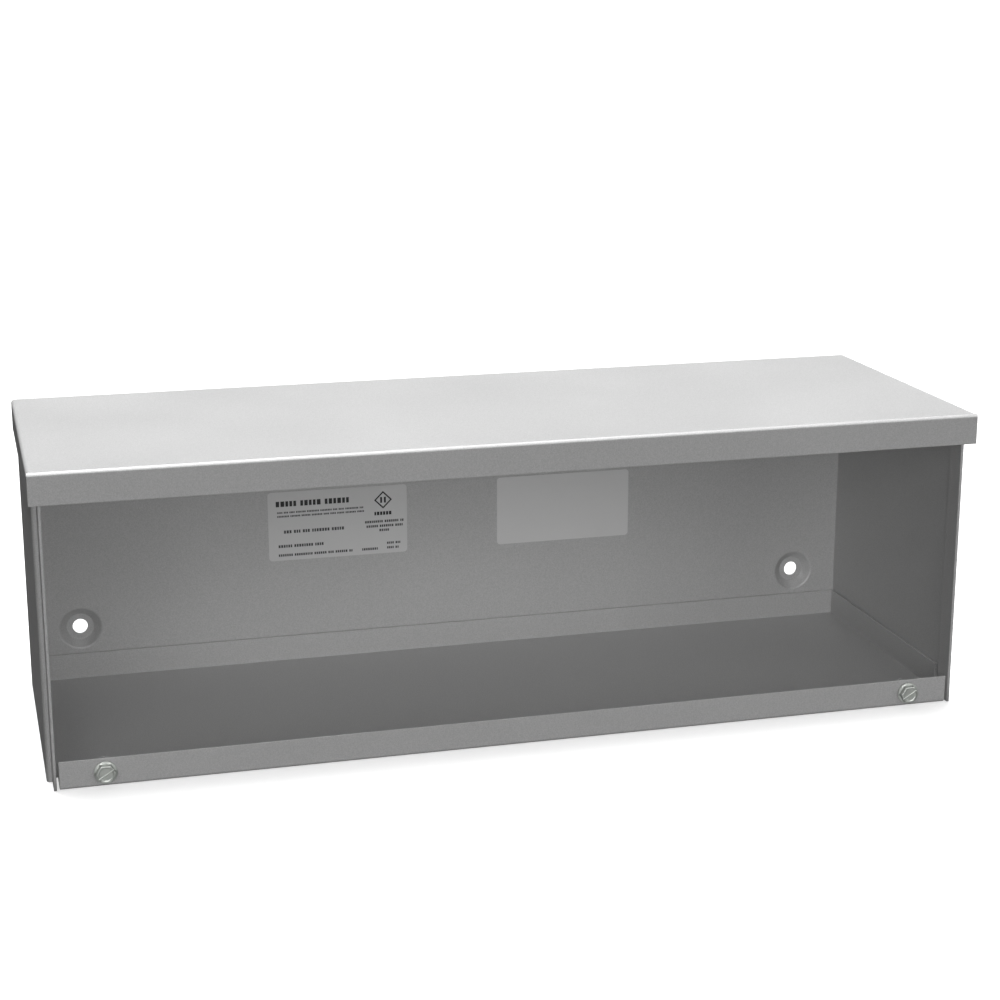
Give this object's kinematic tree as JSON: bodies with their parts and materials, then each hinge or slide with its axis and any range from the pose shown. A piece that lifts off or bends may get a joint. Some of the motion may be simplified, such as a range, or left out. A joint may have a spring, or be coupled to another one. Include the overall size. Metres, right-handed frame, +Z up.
{
  "type": "rainproof wireway trough",
  "caption": "Rainproof sheet-metal wiring trough with its front cover off: drip-lip cap, bent body with stand-off mounting dimples, flanged bottom pan, captive cover screws and labels.",
  "frame": {"origin": "centre of the footprint, on the plane that the pan and end walls stand on", "axes": "+X along the length, +Y towards the wall it mounts on, +Z up; the open front faces -Y"},
  "size_m": [0.6178, 0.2142, 0.2042],
  "materials": {
    "powder_coat": "satin grey powder coat with a fine orange peel over galvanised steel",
    "zinc_plate": "clear zinc plate, slightly green-grey",
    "retainer_steel": "plain spring steel",
    "rating_label_film": "silver-grey printed film",
    "blank_label_film": "plain silver-grey film"
  },
  "bodies": {
    "enclosure": {"body_wrap": "powder_coat", "top_cap": "powder_coat", "bottom_pan": "powder_coat", "rating_label": "rating_label_film", "blank_label": "blank_label_film"},
    "retainer_left": {"screw_retainer_left": "retainer_steel"},
    "screw_left": {"cover_screw_left": "zinc_plate"},
    "retainer_right": {"screw_retainer_right": "retainer_steel"},
    "screw_right": {"cover_screw_right": "zinc_plate"}
  },
  "joints": [
    {"name": "screw_left_travel", "type": "slide", "parent": "enclosure", "child": "retainer_left", "axis": [0, -1, 0], "range_m": [0, 0.0068]},
    {"name": "screw_left_turn", "type": "hinge", "parent": "retainer_left", "child": "screw_left", "pos_m": [-0.2713, -0.1012, 0.0094], "axis": [0, -1, 0], "range_deg": [0, 1900]},
    {"name": "screw_right_travel", "type": "slide", "parent": "enclosure", "child": "retainer_right", "axis": [0, -1, 0], "range_m": [0, 0.0068]},
    {"name": "screw_right_turn", "type": "hinge", "parent": "retainer_right", "child": "screw_right", "pos_m": [0.2713, -0.1012, 0.0094], "axis": [0, -1, 0], "range_deg": [0, 1900]}
  ],
  "couplings": [
    {"joint": "screw_left_travel", "follows": "screw_left_turn", "m_per_rad": 0.00020213},
    {"joint": "screw_right_travel", "follows": "screw_right_turn", "m_per_rad": 0.00020213}
  ]
}
